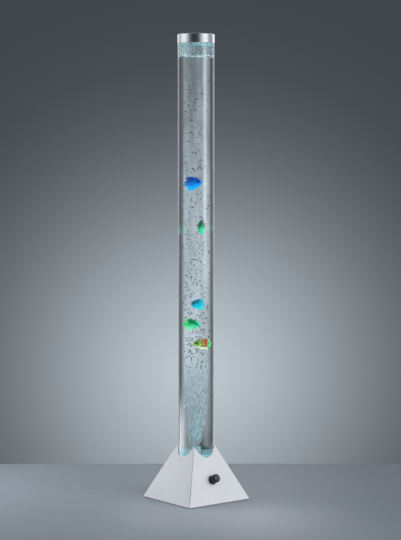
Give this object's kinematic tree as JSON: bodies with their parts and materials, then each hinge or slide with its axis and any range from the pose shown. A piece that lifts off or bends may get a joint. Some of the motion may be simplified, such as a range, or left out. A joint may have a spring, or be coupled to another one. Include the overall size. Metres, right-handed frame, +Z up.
{
  "type": "bubble tube floor lamp",
  "caption": "Tall clear water tube with rising bubbles and floating toy fish on a lit pyramid sheet-metal base with a control knob, closed by a lift-off metal cap.",
  "frame": {"origin": "on the floor under the centre of the tube, at the underside of the feet", "axes": "+Z up along the tube; the knob's face looks towards -Y and the power inlet's face towards +Y"},
  "size_m": [0.197, 0.197, 1.2],
  "materials": {
    "cover_paint": "satin white powder coat",
    "plate_steel": "zinc plated sheet steel",
    "fastener_steel": "zinc plated",
    "black_rubber": "matt",
    "holder_plastic": "moulded ABS",
    "clear_tube": "clear extruded acrylic",
    "clear_plug": "clear cast acrylic lit from below",
    "porous_stone": "porous sintered air stone",
    "led_board_white": "white solder mask",
    "led_light": "lit light",
    "pump_plastic": "moulded ABS",
    "core_steel": "stacked laminations",
    "coil_copper": "enamelled copper winding",
    "lever_plastic": "moulded acetal",
    "magnet": "ferrite",
    "valve_plastic": "moulded polypropylene",
    "clip_plastic": "moulded nylon",
    "board_green": "green solder mask",
    "component_black": "moulded component bodies",
    "standoff_brass": "turned brass",
    "control_body": "moulded and crimped control body",
    "knob_black": "satin black",
    "knob_disc": "grey satin inlay",
    "inlet_black": "moulded nylon",
    "cap_aluminium": "bright brushed",
    "insert_white": "moulded polyethylene",
    "hose_silicone": "translucent silicone",
    "lead_black": "PVC sleeve",
    "lead_white": "PVC sleeve",
    "lead_grey": "PVC sleeve",
    "fish_blue_plastic": "translucent blue",
    "fish_green_plastic": "translucent sea green",
    "fish_turquoise_plastic": "translucent turquoise",
    "fish_lime_plastic": "translucent green",
    "fish_striped_plastic": "lime, orange and mint"
  },
  "bodies": {
    "base": {"base_cover_front": "cover_paint", "base_cover_rear": "cover_paint", "seam_strips": "plate_steel", "base_plate": "plate_steel", "base_screws": "fastener_steel", "holder_screws": "fastener_steel", "rubber_feet": "black_rubber", "tube_holder": "holder_plastic", "bottom_plug": "clear_plug", "plug_seal": "black_rubber", "air_stone": "porous_stone", "led_board": "led_board_white", "leds": "led_light", "led_board_screws": "fastener_steel", "tube": "clear_tube", "pump_case": "pump_plastic", "pump_lid": "pump_plastic", "pump_core": "core_steel", "pump_coil": "coil_copper", "pump_pin": "fastener_steel", "pump_valve_block": "valve_plastic", "pump_diaphragm": "black_rubber", "pump_pads": "black_rubber", "pump_screws": "fastener_steel", "check_valve": "valve_plastic", "valve_clip": "clip_plastic", "control_board": "board_green", "board_components": "component_black", "board_standoffs": "standoff_brass", "board_screws": "fastener_steel", "potentiometer": "control_body", "control_nut": "fastener_steel", "power_inlet": "inlet_black", "inlet_nut": "fastener_steel", "air_hose_lower": "hose_silicone", "air_hose_upper": "hose_silicone", "inlet_lead": "lead_black", "pump_lead": "lead_black", "led_lead": "lead_white", "dial_lead": "lead_grey"},
    "cap": {"cap_shell": "cap_aluminium", "cap_insert": "insert_white", "cap_seal": "black_rubber"},
    "knob": {"knob": "knob_black", "knob_cap": "knob_disc", "control_shaft": "fastener_steel"},
    "pump_lever": {"pump_lever": "lever_plastic", "pump_magnet": "magnet"},
    "fish_blue": {"fish_blue": "fish_blue_plastic"},
    "fish_green": {"fish_green": "fish_green_plastic"},
    "fish_turquoise": {"fish_turquoise": "fish_turquoise_plastic"},
    "fish_lime": {"fish_lime": "fish_lime_plastic"},
    "fish_striped": {"fish_striped": "fish_striped_plastic"}
  },
  "joints": [
    {"name": "cap_lift", "type": "slide", "parent": "base", "child": "cap", "axis": [0, 0, 1], "range_m": [0, 0.1]},
    {"name": "knob_turn", "type": "hinge", "parent": "base", "child": "knob", "pos_m": [-0.0037, -0.0723, 0.0587], "axis": [0, -0.9078, 0.4195], "range_deg": [-150, 150]},
    {"name": "pump_rock", "type": "hinge", "parent": "base", "child": "pump_lever", "pos_m": [0.026, 0, 0.0242], "axis": [0, 1, 0], "range_deg": [-1.5, 1.5], "stiffness_Nm_per_rad": 0.5, "deforming": ["pump_diaphragm"]},
    {"name": "fish_blue_rise", "type": "slide", "parent": "base", "child": "fish_blue", "axis": [0, 0, 1], "range_m": [-0.672, 0.308]},
    {"name": "fish_green_rise", "type": "slide", "parent": "base", "child": "fish_green", "axis": [0, 0, 1], "range_m": [-0.546, 0.424]},
    {"name": "fish_turquoise_rise", "type": "slide", "parent": "base", "child": "fish_turquoise", "axis": [0, 0, 1], "range_m": [-0.368, 0.621]},
    {"name": "fish_lime_rise", "type": "slide", "parent": "base", "child": "fish_lime", "axis": [0, 0, 1], "range_m": [-0.3, 0.673]},
    {"name": "fish_striped_rise", "type": "slide", "parent": "base", "child": "fish_striped", "axis": [0, 0, 1], "range_m": [-0.247, 0.726]}
  ]
}
